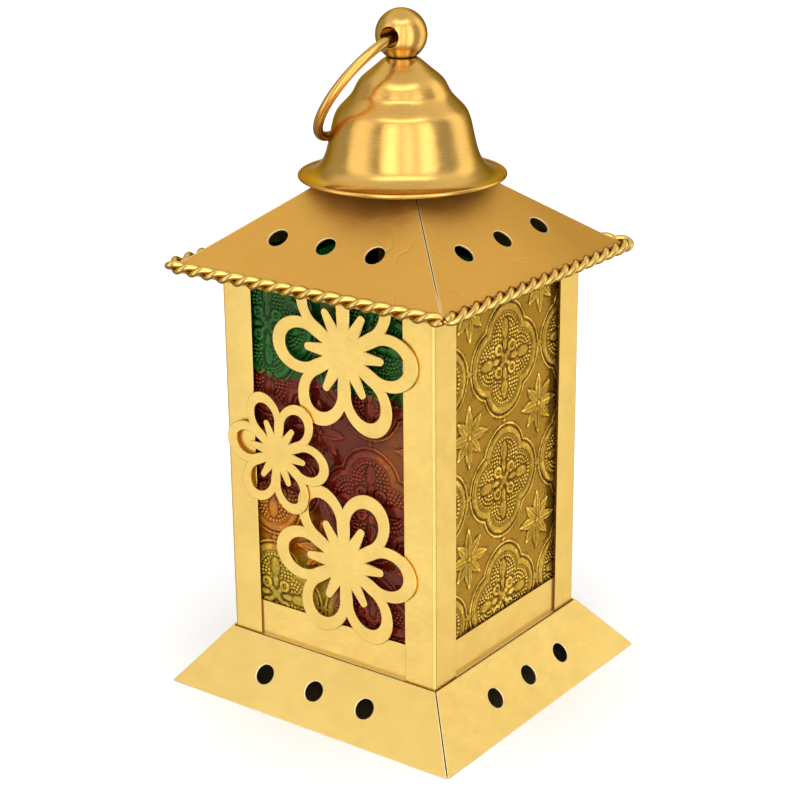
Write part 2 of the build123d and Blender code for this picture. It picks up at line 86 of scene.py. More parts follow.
# Sizes that the pieces of this scene share with the solids
STRAND = 2.4 * MM
ROPE_PLAY = 0.2 * MM  # strand to the rope's axis and rope to the roof's lip, together
LAY_TURNS = 34
ROPE_CORNER = 4.0 * MM
ROPE_END_GAP = 1.0 * MM
STRAND_PLAY = 0.05 * MM

body_of_node = {n: body for body, names in frame["record"]["behaviour"]["bodies"].items() for n in names}
slot_of_node = {s["node"]: s["material_slot"] for s in frame["record"]["subparts"]}


# Shader helpers

def new_material(name):
    """A material with a bare Principled shader; returns the material, its node tree and the shader."""
    material = bpy.data.materials.new(name)
    material.use_nodes = True
    tree = material.node_tree
    return material, tree, tree.nodes["Principled BSDF"]


def add(tree, kind, links=None, **settings):
    """A node with its settings; links maps an input's name or number to a value or to a node's output."""
    node = tree.nodes.new(kind)
    for key, value in settings.items():
        setattr(node, key, value)
    for key, value in (links or {}).items():
        if isinstance(value, bpy.types.NodeSocket):
            tree.links.new(value, node.inputs[key])
        else:
            node.inputs[key].default_value = value
    return node


def place(tree, scale=(1, 1, 1), turn=(0, 0, 0)):
    """The surface point in the lantern's frame, stretched and turned."""
    here = add(tree, "ShaderNodeTexCoord").outputs["Object"]
    links = {"Vector": here, "Scale": scale, "Rotation": turn}
    return add(tree, "ShaderNodeMapping", links).outputs["Vector"]


def along(tree, vector, axis):
    """One of a vector's three parts."""
    return add(tree, "ShaderNodeSeparateXYZ", {"Vector": vector}).outputs[axis]


def attribute(tree, name):
    """A value that the mesh carries."""
    return add(tree, "ShaderNodeAttribute", attribute_name=name).outputs["Fac"]


def noise(tree, vector, scale, detail=3.0, rough=0.5):
    """Fractal noise between 0 and 1."""
    links = {"Vector": vector, "Scale": scale, "Detail": detail, "Roughness": rough}
    return add(tree, "ShaderNodeTexNoise", links).outputs["Fac"]


def spread(tree, value, low, high, to_low, to_high):
    """A value from one range carried to another, and held at its ends."""
    links = {"Value": value, "From Min": low, "From Max": high, "To Min": to_low, "To Max": to_high}
    return add(tree, "ShaderNodeMapRange", links).outputs["Result"]


def compute(tree, operation, a, b=0.0):
    """One sum of two values."""
    return add(tree, "ShaderNodeMath", {0: a, 1: b}, operation=operation).outputs["Value"]


def mix(tree, factor, a, b, blend="MIX"):
    """Two colours mixed by a factor."""
    made = add(tree, "ShaderNodeMix", data_type="RGBA", blend_type=blend)
    for index, value in ((0, factor), (6, a), (7, b)):
        if isinstance(value, bpy.types.NodeSocket):
            tree.links.new(value, made.inputs[index])
        elif index:
            made.inputs[index].default_value = (*value, 1.0)
        else:
            made.inputs[index].default_value = value
    return made.outputs[2]


def emboss(tree, shader, *layers):
    """Bumps laid over each other; each layer is a height, a strength and a depth."""
    links = {}
    for height, strength, depth in layers:
        links.update({"Height": height, "Strength": strength, "Distance": depth})
        links["Normal"] = add(tree, "ShaderNodeBump", links).outputs["Normal"]
    tree.links.new(links["Normal"], shader.inputs["Normal"])


# Brass

CLOUDS, STAINS, WAVES = 22.0, 140.0, 38.0  # noise scales
CLOUD_RANGE, CLOUD_SHARE = (0.35, 0.72), 0.55
STAIN_RANGE, STAIN_SHARE = (0.60, 0.80), 0.25
CREASE_PATHS, CREASE_PLACES, CREASE_TURN = 85.0, 62.0, (0.7, 0.4, 1.1)
CREASE_HALF, CREASE_SPARSE = 0.022, (0.60, 0.66)
LATHE_STRETCH = (4, 4, 130)
WAVE_DEPTH, GRAIN_DEPTH, LATHE_DEPTH = 0.6 * MM, 0.03 * MM, 0.8 * MM
FACING_DOWN = (-0.75, -0.35)
# Painted shade: the roof darkens toward its back over this reach, by up to this share
BACK_SHADE_REACH, BACK_SHADE_SHARE = 34 * MM, 0.6
SHEET_RIM, SPUN_RIM = (0.62, 0.50, 0.34), (0.36, 0.27, 0.17)  # tint of glancing reflections


def brass_colour(tree, point, stains, tone, shade, shade_below, rub_and_sheen, back_shade):
    """Tone with clouds and stains of a shade; then painted shade toward the back and on downward faces, cut
    edges darkened as raw metal and painted seam shade, and edges paled by wear and a painted highlight.
    """
    clouds = noise(tree, point, CLOUDS, 4.0, 0.55)
    colour = mix(tree, spread(tree, clouds, *CLOUD_RANGE, 0.0, CLOUD_SHARE), tone, shade)
    colour = mix(tree, spread(tree, stains, *STAIN_RANGE, 0.0, STAIN_SHARE), colour, shade)
    # Painted shade: the tone darkens toward the back
    if back_shade:
        toward_back = along(tree, point, "Y")
        colour = mix(tree, spread(tree, toward_back, 0.0, BACK_SHADE_REACH, 0.0, BACK_SHADE_SHARE), colour, back_shade)
    # Painted shade: faces that look down take a darker tone, and so do cut edges, which are partly raw metal
    # and partly painted seam shade
    if shade_below:
        facing_up = along(tree, add(tree, "ShaderNodeNewGeometry").outputs["Normal"], "Z")
        colour = mix(tree, spread(tree, facing_up, *FACING_DOWN, 1.0, 0.0), colour, shade_below)
        colour = mix(tree, attribute(tree, "raw_and_shaded_cut"), colour, shade_below)
    # Edges paled partly by wear and partly as a painted highlight
    if rub_and_sheen:
        colour = mix(tree, attribute(tree, "rubbed_sheen_edge"), colour, rub_and_sheen)
    return colour


def creases(tree, point, depth):
    """Sparse thin creases, such as knocks leave in a sheet."""
    off_path = compute(tree, "SUBTRACT", noise(tree, point, CREASE_PATHS, 1.0, 0.3), 0.5)
    line = spread(tree, compute(tree, "ABSOLUTE", off_path), 0.0, CREASE_HALF, 1.0, 0.0)
    places = noise(tree, place(tree, turn=CREASE_TURN), CREASE_PLACES, 1.0, 0.4)
    return compute(tree, "MULTIPLY", line, spread(tree, places, *CREASE_SPARSE, 0.0, depth))


def brass(name, tone, shade, roughness, grain_scale, dent=0.25, grain=0.10, rim=SHEET_RIM, shade_below=None,
          scuffs=0.0, rings=0.0, rub_and_sheen=None, back_shade=None):
    """Satin brass, wavy and with brushed grain; scuffs are creases and rings are marks of the lathe."""
    material, tree, shader = new_material(name)
    point = place(tree)
    stains = noise(tree, point, STAINS, 2.0, 0.6)
    colour = brass_colour(tree, point, stains, tone, shade, shade_below, rub_and_sheen, back_shade)
    tree.links.new(colour, shader.inputs["Base Color"])
    shader.inputs["Metallic"].default_value = 1.0
    shader.inputs["Specular Tint"].default_value = (*rim, 1.0)
    brushed = noise(tree, place(tree, grain_scale), 1.0, 3.0, 0.6)
    fine = spread(tree, brushed, 0.3, 0.7, roughness - 0.05, roughness + 0.07)
    smears = spread(tree, stains, 0.35, 0.75, -0.03, 0.05)
    tree.links.new(compute(tree, "ADD", fine, smears), shader.inputs["Roughness"])
    waves = noise(tree, point, WAVES, 2.0, 0.4)
    if scuffs:
        waves = compute(tree, "SUBTRACT", waves, creases(tree, point, scuffs))
    layers = [(waves, dent, WAVE_DEPTH), (brushed, grain, GRAIN_DEPTH)]
    if rings:
        turned = noise(tree, place(tree, LATHE_STRETCH), 1.0, 2.0, 0.5)
        layers.insert(0, (turned, rings, LATHE_DEPTH))
    emboss(tree, shader, *layers)
    return material


SHEET_TONE, SHEET_SHADE = (0.915, 0.640, 0.190), (0.85, 0.56, 0.145)
ROOF_TONE, ROOF_SHADE = (0.88, 0.51, 0.112), (0.78, 0.42, 0.080)
SPUN_TONE, SPUN_SHADE = (0.88, 0.525, 0.138), (0.77, 0.41, 0.090)
WIRE_TONE, WIRE_SHADE = (0.90, 0.60, 0.17), (0.78, 0.48, 0.11)
PLAIN_TONE, PLAIN_SHADE = (0.74, 0.48, 0.16), (0.60, 0.36, 0.10)
SOLDER_TONE, SOLDER_SHADE = (0.96, 0.86, 0.60), (0.92, 0.79, 0.50)
# Painted shade: darker tones for downward faces and for cut edges, which are also raw metal; the spun brass's
# is duller
RAW_AND_SHADE_BRASS, DULL_SHADE_BRASS = (0.20, 0.12, 0.045), (0.62, 0.52, 0.34)
# Edges paled by wear and a painted highlight; a painted shade toward the back of the roof
RUBBED_SHEEN_BRASS, BACK_SHADE_BRASS = (1.0, 0.88, 0.56), (0.56, 0.29, 0.05)
finishes = {
    "brass_sheet": brass("satin_brass_sheet", SHEET_TONE, SHEET_SHADE, 0.36, (300, 300, 2200),
                         shade_below=RAW_AND_SHADE_BRASS, rub_and_sheen=RUBBED_SHEEN_BRASS),
    "roof_brass": brass("satin_brass_roof", ROOF_TONE, ROOF_SHADE, 0.56, (900, 900, 900),
                        dent=0.4, grain=0.03, shade_below=RAW_AND_SHADE_BRASS, scuffs=0.5,
                        rub_and_sheen=RUBBED_SHEEN_BRASS, back_shade=BACK_SHADE_BRASS),
    "spun_brass": brass("spun_brass", SPUN_TONE, SPUN_SHADE, 0.21, (120, 120, 3500),
                        dent=0.10, grain=0.08, rim=SPUN_RIM, shade_below=DULL_SHADE_BRASS),
    "bell_dome": brass("spun_brass_cap", SPUN_TONE, SPUN_SHADE, 0.21, (120, 120, 3500),
                       dent=0.20, grain=0.05, rim=SPUN_RIM, shade_below=DULL_SHADE_BRASS, rings=0.9),
    "brass_wire": brass("brass_wire", WIRE_TONE, WIRE_SHADE, 0.14, (1500, 1500, 1500),
                        dent=0.0, grain=0.05, rim=SPUN_RIM),
    "solder": brass("pale_solder", SOLDER_TONE, SOLDER_SHADE, 0.45, (900, 900, 900)),
    "plain_brass": brass("plain_brass", PLAIN_TONE, PLAIN_SHADE, 0.50, (1200, 1200, 1200), shade_below=RAW_AND_SHADE_BRASS),
}


# Bevelled copies of the brass solids

def new_piece(name, mesh, finish):
    """An object for a mesh, with one material."""
    mesh.materials.clear()
    mesh.materials.append(finish)
    piece = bpy.data.objects.new(name, mesh)
    bpy.context.collection.objects.link(piece)
    return piece


def adopt(piece, node):
    """Puts a piece in a node's place: its body, and the node hidden."""
    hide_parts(node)
    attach(piece, body_of_node[node])


def to_mesh(name, shape):
    """A mesh of a finished bmesh."""
    mesh = bpy.data.meshes.new(name)
    shape.to_mesh(mesh)
    shape.free()
    return mesh


WELD = 0.002 * MM
FLAT_ANGLE = radians(0.5)
SQUARE, LEVEL = 0.999, 0.99  # part of a normal along an axis, from which a face counts as square or level


def dress(node, edge, segments=3, crease=30, cut=0.0, rub_and_sheen=0.0, merge=False):
    """A copy of a node's mesh with its sharp edges rounded off, its flat faces merged before that if asked.

    Square faces narrower than cut are cut edges, darkened later as raw metal and a painted seam shade; the
    rubbing share pales rounded and level faces, by wear and a painted highlight.
    """
    shape = bmesh.new()
    shape.from_mesh(nodes[node].data)
    bmesh.ops.remove_doubles(shape, verts=shape.verts, dist=WELD)
    if merge:
        bmesh.ops.dissolve_limit(shape, angle_limit=FLAT_ANGLE, verts=shape.verts, edges=shape.edges)
    layers = shape.faces.layers.float
    layers.new("rubbed_sheen_edge")
    layers.new("raw_and_shaded_cut")
    rubbed_sheen_edge, raw_and_shaded_cut = layers["rubbed_sheen_edge"], layers["raw_and_shaded_cut"]
    # Level faces that look up are paled by wear and a painted highlight; narrow square faces are cut edges,
    # later darkened as raw metal and painted seam shade
    for face in shape.faces:
        face.smooth = True
        face[rubbed_sheen_edge] = rub_and_sheen * (face.normal.z > LEVEL)
        narrow = face.calc_area() < cut * max(line.calc_length() for line in face.edges)
        face[raw_and_shaded_cut] = narrow and max(abs(part) for part in face.normal) > SQUARE
    sharp = [line for line in shape.edges if line.is_manifold and line.calc_face_angle() > radians(crease)]
    if edge:
        rounded = bmesh.ops.bevel(shape, geom=sharp, offset=edge, segments=segments, profile=0.5,
                                  affect="EDGES", clamp_overlap=True)
        fresh = set(rounded["faces"])
        # Bevels are paled too: wear and a painted highlight
        for face in fresh:
            face[rubbed_sheen_edge] = rub_and_sheen
        sharp = [line for line in shape.edges if len(fresh.intersection(line.link_faces)) == 1]
    for line in shape.edges:
        line.smooth = True
    for line in sharp:
        line.smooth = False
    mesh = to_mesh(f"{node}_dressed", shape)
    if "custom_normal" in mesh.attributes:
        mesh.attributes.remove(mesh.attributes["custom_normal"])
    finish = finishes.get(node) or finishes[slot_of_node[node]]
    adopt(new_piece(f"{node}_dressed", mesh, finish), node)


SHEET_EDGE, SEAM_EDGE = 0.22 * MM, 0.36 * MM
CUT_WIDTH = 0.9 * MM  # just over the sheets' thickness
TRIM_EDGE, SMALL_EDGE = 0.25 * MM, 0.12 * MM
BALL_EDGE = 0.35 * MM
# How far rounded and level faces pale: wear and a painted highlight
EDGE_RUB_AND_SHEEN = 0.8
SIDES = ("front", "right", "back", "left")
CORNERS = ("front_left", "front_right", "back_right", "back_left")
for side in SIDES:
    for node in (f"base_{side}_panel", f"roof_{side}_panel"):
        dress(node, SEAM_EDGE, segments=4, rub_and_sheen=EDGE_RUB_AND_SHEEN)
    for node in (f"bottom_rail_{side}", f"top_rail_{side}"):
        dress(node, SHEET_EDGE, cut=CUT_WIDTH, merge=True)
for corner in CORNERS:
    dress(f"post_{corner}", SHEET_EDGE, crease=50, cut=CUT_WIDTH, merge=True)
for node in ("flower_top", "flower_middle", "flower_bottom", "door_frame", "latch_button"):
    dress(node, TRIM_EDGE, merge=True)
for node in ("floor_plate", "glass_clips_front", "glass_clips_back", "hinge_post_leaves",
             "hinge_door_leaves", "hinge_pins", "door_tabs", "latch_rivet", "dome_seat", "rod_washer",
             "rod_nut", "finial_rod"):
    dress(node, SMALL_EDGE, segments=2)
for node in ("bell_dome", "candle_cup"):
    dress(node, 0, crease=35)
dress("finial_ball", BALL_EDGE, segments=4, crease=40)
dress("carrying_ring", TRIM_EDGE, crease=50)


# Solder in the slot between the base's top edge and the rails

SOLDER_DROP = 0.15 * MM  # from the base's upper edge down to the solder's top
SOLDER_DEEP = 1.2 * MM
SOLDER_SHORT = 0.28 * MM  # open line that is left at the base's edge
SOLDER_PLAY = 0.05 * MM
base_inner, base_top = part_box("base_right_panel")[0].x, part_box("base_right_panel")[1].z
solder_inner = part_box("bottom_rail_right")[1].x + SOLDER_PLAY
solder_outer = base_inner - SOLDER_SHORT
solder_end = -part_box("post_front_right")[1].y - SOLDER_PLAY
solder_section = (
    (solder_inner, base_top - SOLDER_DEEP),
    (solder_outer, base_top - SOLDER_DEEP),
    (solder_outer, base_top - SOLDER_DROP),
    (solder_inner, base_top - SOLDER_DROP),
)


def solder(side, quarter):
    """A strip of solder between two posts: the right side's strip, turned by some quarters."""
    shape = bmesh.new()
    spin = Matrix.Rotation(quarter * pi / 2, 3, "Z")
    ends = [[shape.verts.new(spin @ Vector((x, y, z))) for x, z in solder_section]
            for y in (-solder_end, solder_end)]
    for k in range(len(solder_section)):
        shape.faces.new((ends[0][k - 1], ends[0][k], ends[1][k], ends[1][k - 1]))
    for end in ends:
        shape.faces.new(end)
    bmesh.ops.recalc_face_normals(shape, faces=shape.faces)
    seam = new_piece(f"solder_{side}", to_mesh(f"solder_{side}", shape), finishes["solder"])
    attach(seam, body_of_node[f"base_{side}_panel"])


for quarter, side in enumerate(("right", "back", "left", "front")):
    solder(side, quarter)


# Twisted wire round the eave: two round strands with the solids' lay

STRAND_SIDES, TURN_STEPS = 12, 24
rope_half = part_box("roof_right_panel")[1].x + STRAND + ROPE_PLAY
rope_z = sum(corner.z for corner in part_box("eave_wire_one")) / 2
rope_run = 2 * (rope_half - ROPE_CORNER)
rope_bend = ROPE_CORNER * pi / 2
rope_quarter = rope_run + rope_bend
rope_length = 4 * rope_quarter
lay_lead = rope_length / LAY_TURNS


def rope_path(travel):
    """Point on the rope's axis and its outward direction, from the front right corner anticlockwise."""
    quarter = floor(travel / rope_quarter)
    rest = travel - quarter * rope_quarter - rope_bend / 2
    straight = min(max(rest, 0.0), rope_run)
    turn = (rest - straight) / ROPE_CORNER
    out = Vector((cos(turn), sin(turn), 0))
    point = Vector((rope_half - ROPE_CORNER, straight - rope_run / 2, rope_z)) + out * ROPE_CORNER
    spin = Matrix.Rotation(quarter * pi / 2, 3, "Z")
    return spin @ point, spin @ out


def strand(phase):
    """Line of one strand of the rope, and two directions across it at each point."""
    steps = LAY_TURNS * TURN_STEPS
    line, frames = [], []
    for step in range(steps + 1):
        travel = ROPE_END_GAP / 2 + (rope_length - ROPE_END_GAP) * step / steps
        point, out = rope_path(travel)
        turn = 2 * pi * travel / lay_lead + phase
        radial = out * cos(turn) + UP * sin(turn)
        ahead = UP.cross(out) + (UP * cos(turn) - out * sin(turn)) * (pi * STRAND / lay_lead)
        ahead.normalize()
        line.append(point + radial * (STRAND / 2 + STRAND_PLAY))
        frames.append((radial, ahead.cross(radial)))
    return line, frames


def tube(name, line, frames, radius, sides):
    """A round tube with flat ends along a line of points."""
    shape = bmesh.new()
    rings = []
    for point, (across, over) in zip(line, frames):
        rings.append([shape.verts.new(point + (across * cos(a) + over * sin(a)) * radius)
                      for a in (2 * pi * k / sides for k in range(sides))])
    for low, high in zip(rings, rings[1:]):
        for k in range(sides):
            shape.faces.new((low[k], low[(k + 1) % sides], high[(k + 1) % sides], high[k]))
    shape.faces.new(list(reversed(rings[0])))
    shape.faces.new(rings[-1])
    bmesh.ops.recalc_face_normals(shape, faces=shape.faces)
    mesh = to_mesh(name, shape)
    mesh.shade_smooth()
    mesh.set_sharp_from_angle(angle=radians(50))
    return mesh


for node, phase in (("eave_wire_one", 0.0), ("eave_wire_two", pi)):
    mesh = tube(f"{node}_round", *strand(phase), STRAND / 2, STRAND_SIDES)
    adopt(new_piece(f"{node}_round", mesh, finishes["brass_wire"]), node)


# Figured glass: quatrefoils filled with beads, and pointed stars between them, pressed into the outer face

PITCH_ACROSS, PITCH_UP = 44.6, 45.8  # repeat of the figure; all its sizes are in millimetres
RELIEF_DEPTH = 0.75  # from the pane's outer face down to the ground of the figure
GROUND_ROUGH, GROUND_LUMPS = 0.05, (3, 14)  # unevenness of the ground, and its sizes in grid steps
CAVITY_REACH = 0.9  # half of the width that grooves and crests are told from
LOBE_REACH, LOBE_ROUND = 8.5, 12.1
BAND_MIDDLE, BAND_HALF = -1.75, 1.45
BAND_INNER = BAND_MIDDLE - BAND_HALF
RIDGES = (  # place outward from the lobes' outline, half width and height
    (BAND_MIDDLE, BAND_HALF, 0.60),
    (0.75, 0.50, 0.34),
    (BAND_INNER - 0.35, 0.35, 0.30),
)
FIELD_EDGE, FIRST_ROW = BAND_INNER - 0.7, BAND_INNER - 1.3
BEAD_PITCH, BEAD_ROUND, BEAD_HEIGHT = 1.48, 0.64, 0.44
HEART = (1.9, 1.9, 0.60)  # half length, half width and height, as for every boss here
LEAVES = (  # turn from a lobe's axis, distance from the heart, half length, half width and height
    (0, 11.2, 3.9, 2.1, 0.68),
    (0, 5.6, 2.6, 1.3, 0.55),
    (pi / 4, 2.9, 2.2, 1.1, 0.50),
    (pi / 4, 5.9, 0.7, 0.7, 0.50),
)
CURL_AT, CURL_ROUND, CURL_HALF, CURL_HEIGHT = 5.9, 1.6, 0.85, 0.55
MOTIF_CLEAR = 2  # grid steps of smooth ground round the leaves
STAR_LONG, STAR_SHORT, STAR_WIDE = 11.8, 10.2, 2.25  # lengths and half width of a star's petals
STAR_HEART, STAR_BOSS_AT, STAR_BOSS = (1.5, 1.5, 0.68), 3.9, (2.0, 0.95, 0.62)
PETAL_HEIGHT, PETAL_START, PETAL_BELLY, PETAL_RIM, PETAL_RIB = 0.62, 1.4, 0.75, 4, 0.20
SMALL_HEIGHT, SMALL_LONG, SMALL_WIDE = 0.40, 0.55, 0.5  # length and width as shares of the large petals
TIE_LONG, TIE_HALF, TIE_HEIGHT = 2.4, 0.55, 0.3
KNOT = (0.9, 1.5, 0.4)
JOIN_WAVE, JOIN_LENGTH = 1.5, 7.0


def bump(distance, half, height):
    """Rounded ridge: full height where distance is 0, nothing beyond half."""
    return height * np.sqrt(np.clip(1 - (distance / half) ** 2, 0, None))


def blurred(values, reach):
    """Mean of each place's neighbours within some grid steps."""
    for axis in (0, 1):
        first, last = values.take([0] * reach, axis), values.take([-1] * reach, axis)
        padded = np.concatenate([first, values, last], axis)
        values = np.mean([np.roll(padded, k, axis) for k in range(-reach, reach + 1)], axis=0)
        values = values.take(range(reach, padded.shape[axis] - reach), axis)
    return values


def oval(u, v, turn, away, long, wide, height):
    """Rounded oval boss on a ray from the middle, by the ray's turn and how far out the boss lies."""
    along_ray = u * cos(turn) + v * sin(turn) - away
    across_ray = -u * sin(turn) + v * cos(turn)
    return height * np.sqrt(np.clip(1 - (along_ray / long) ** 2 - (across_ray / wide) ** 2, 0, None))


def petal(u, v, turn, end, wide, height):
    """Pointed petal with a raised rim and a rib down its middle."""
    along_ray = u * cos(turn) + v * sin(turn)
    across_ray = np.abs(-u * sin(turn) + v * cos(turn))
    share = np.clip((along_ray - PETAL_START) / (end - PETAL_START), 0, 1)
    share_out = across_ray / (wide * np.sin(pi * share ** PETAL_BELLY) + 1e-6)
    rim = np.clip(PETAL_RIM * (1 - share_out), 0, 1)
    rib = 1 - PETAL_RIB + PETAL_RIB * np.cos(2 * pi * np.minimum(share_out, 1))
    return height * rim * rib * (share > 0)


def beads(u, v, lobes):
    """Rows of round beads that follow the lobes' outline, and the distance outward from that outline."""
    away = np.array([np.hypot(u - x, v - y) for x, y in lobes])
    reach = np.min(away, axis=0)
    middles = np.array(lobes)[np.argmin(away, axis=0)]
    angle = np.arctan2(v - middles[..., 1], u - middles[..., 0])
    first = LOBE_ROUND + FIRST_ROW
    row = np.clip(np.round((first - reach) / BEAD_PITCH), 0, floor(first / BEAD_PITCH))
    row_reach = first - row * BEAD_PITCH
    count = np.maximum(1, np.round(2 * pi * row_reach / BEAD_PITCH))
    turn = angle - np.round(angle * count / (2 * pi)) * 2 * pi / count
    return bump(np.hypot(reach - row_reach, row_reach * turn), BEAD_ROUND, BEAD_HEIGHT), reach - LOBE_ROUND


def quatrefoil(u, v):
    """Four-lobed frame with a double edge, filled with beads round a cross of leaves and curls."""
    lobes = [(LOBE_REACH, 0), (-LOBE_REACH, 0), (0, LOBE_REACH), (0, -LOBE_REACH)]
    field, outward = beads(u, v, lobes)
    height = np.max([bump(outward - at, half, high) for at, half, high in RIDGES], axis=0)
    motif = oval(u, v, 0, 0, *HEART)
    for quarter in range(4):
        turn = quarter * pi / 2
        for off, away, long, wide, high in LEAVES:
            motif = np.maximum(motif, oval(u, v, turn + off, away, long, wide, high))
        curl_u, curl_v = CURL_AT * cos(turn + pi / 4), CURL_AT * sin(turn + pi / 4)
        curl = bump(np.hypot(u - curl_u, v - curl_v) - CURL_ROUND, CURL_HALF, CURL_HEIGHT)
        motif = np.maximum(motif, curl)
    around = blurred(motif, MOTIF_CLEAR) > 0
    return np.maximum(height, np.where(around, motif, field * (outward < FIELD_EDGE)))


def star(u, v):
    """Eight-petalled flower: long creased petals, short ones between them, and a round heart."""
    height = oval(u, v, 0, 0, *STAR_HEART)
    for eighth in range(8):
        turn = eighth * pi / 4 + pi / 2
        reach = STAR_LONG if eighth % 2 == 0 else STAR_SHORT
        small = petal(u, v, turn + pi / 8, SMALL_LONG * reach, SMALL_WIDE * STAR_WIDE, SMALL_HEIGHT)
        height = np.maximum(height, petal(u, v, turn, reach, STAR_WIDE, PETAL_HEIGHT))
        height = np.maximum(height, np.maximum(small, oval(u, v, turn, STAR_BOSS_AT, *STAR_BOSS)))
    return height


def figure(u, v):
    """Height of the pressed figure above its ground at places on the pane."""
    u = (u + PITCH_ACROSS / 2) % PITCH_ACROSS - PITCH_ACROSS / 2
    v = (v + PITCH_UP / 2) % PITCH_UP - PITCH_UP / 2
    star_u = (u + PITCH_ACROSS) % PITCH_ACROSS - PITCH_ACROSS / 2
    star_v = (v + PITCH_UP) % PITCH_UP - PITCH_UP / 2
    height = np.maximum(quatrefoil(u, v), star(star_u, star_v))
    for lengthwise, sideways in ((star_u, v), (star_v, u)):
        tie = bump(sideways, TIE_HALF, TIE_HEIGHT) * (np.abs(lengthwise) < TIE_LONG)
        height = np.maximum(height, np.maximum(tie, oval(lengthwise, sideways, 0, 0, *KNOT)))
    return height


def pebbles(shape, seed, coarse):
    """Smooth random unevenness between -1 and 1, with lumps of some grid steps."""
    rng = np.random.default_rng(seed)
    lumps = rng.normal(size=(shape[0] // coarse + 3, shape[1] // coarse + 3))
    rows, columns = np.arange(shape[0]) / coarse, np.arange(shape[1]) / coarse
    row, column = rows.astype(int), columns.astype(int)
    up, across = (rows - row)[:, None], (columns - column)[None, :]
    up, across = up * up * (3 - 2 * up), across * across * (3 - 2 * across)
    this_row = lumps[row][:, column] * (1 - across) + lumps[row][:, column + 1] * across
    next_row = lumps[row + 1][:, column] * (1 - across) + lumps[row + 1][:, column + 1] * across
    return np.tanh(this_row * (1 - up) + next_row * up)


def pane_faces(rows, columns):
    """Faces of a slab whose front is a grid of points and whose back is the grid's rim; and that rim."""
    grid = np.arange(rows * columns).reshape(rows, columns)
    rim = np.concatenate([grid[0], grid[1:, -1], grid[-1, -2::-1], grid[-2:0:-1, 0]]).tolist()
    front = np.stack([grid[:-1, :-1], grid[:-1, 1:], grid[1:, 1:], grid[1:, :-1]], -1)
    back = [rows * columns + k for k in range(len(rim))]
    faces = front.reshape(-1, 4).tolist()
    faces += [(rim[k], rim[k - 1], back[k - 1], back[k]) for k in range(len(rim))]
    faces.append(back[::-1])
    return faces, rim


def figured_pane(node, out, middle, step, seed, join, finish):
    """A pane with the figure on its outer face; middle is where a quatrefoil's centre lies, across and up.

    join, for a pane of two sheets, is the height of their joint and the shift of the upper sheet's figure.
    """
    low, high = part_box(node)
    right = UP.cross(out)
    back, face = sorted((low.dot(out) / MM, high.dot(out) / MM))
    ends = sorted((low.dot(right) / MM, high.dot(right) / MM))
    columns = round((ends[1] - ends[0]) / step) + 1
    rows = round((high.z - low.z) / MM / step) + 1
    u, v = np.meshgrid(np.linspace(*ends, columns), np.linspace(low.z / MM, high.z / MM, rows))
    shift = 0.0
    if join:
        shift = np.where(v > join[0] + JOIN_WAVE * np.sin(u / JOIN_LENGTH), join[1], 0.0)
    height = figure(u - middle[0], v - middle[1] - shift)
    ground = sum(GROUND_ROUGH * pebbles(u.shape, seed + k, lumps) for k, lumps in enumerate(GROUND_LUMPS))
    depth = face - RELIEF_DEPTH + np.minimum(height + ground, RELIEF_DEPTH)

    def spot(x, off, z):
        """A point from its places across, outward and up."""
        return right * (x * MM) + out * (off * MM) + UP * (z * MM)

    faces, rim = pane_faces(rows, columns)
    points = [spot(x, off, z) for x, off, z in zip(u.ravel(), depth.ravel(), v.ravel())]
    points += [spot(u.ravel()[k], back, v.ravel()[k]) for k in rim]
    mesh = bpy.data.meshes.new(f"{node}_figured")
    mesh.from_pydata(points, [], faces)
    mesh.shade_smooth()
    mesh.set_sharp_from_angle(angle=radians(60))
    cavity = height + ground - blurred(height, max(1, round(CAVITY_REACH / step)))
    for name, relief in (("figure_height", height / RELIEF_DEPTH), ("figure_cavity", cavity)):
        values = np.zeros(len(points), np.float32)
        values[: rows * columns] = relief.ravel()
        mesh.attributes.new(name, "FLOAT", "POINT").data.foreach_set("value", values)
    adopt(new_piece(f"{node}_figured", mesh, finish), node)


# Painted shade on the figure's ground and in its grooves, and a painted highlight on its crests: tints and
# the ranges they fade over
GROUND_SHADE_TINT, GROOVE_SHADE_TINT = (0.72, 0.64, 0.52), (0.16, 0.12, 0.07)
GROUND_SHADE_RANGE, GROOVE_SHADE_RANGE, CREST_HIGHLIGHT_RANGE = (0.0, 0.45), (-0.24, -0.02), (0.08, 0.28)
STREAKS, STREAK_DEPTH = 260.0, 0.1 * MM


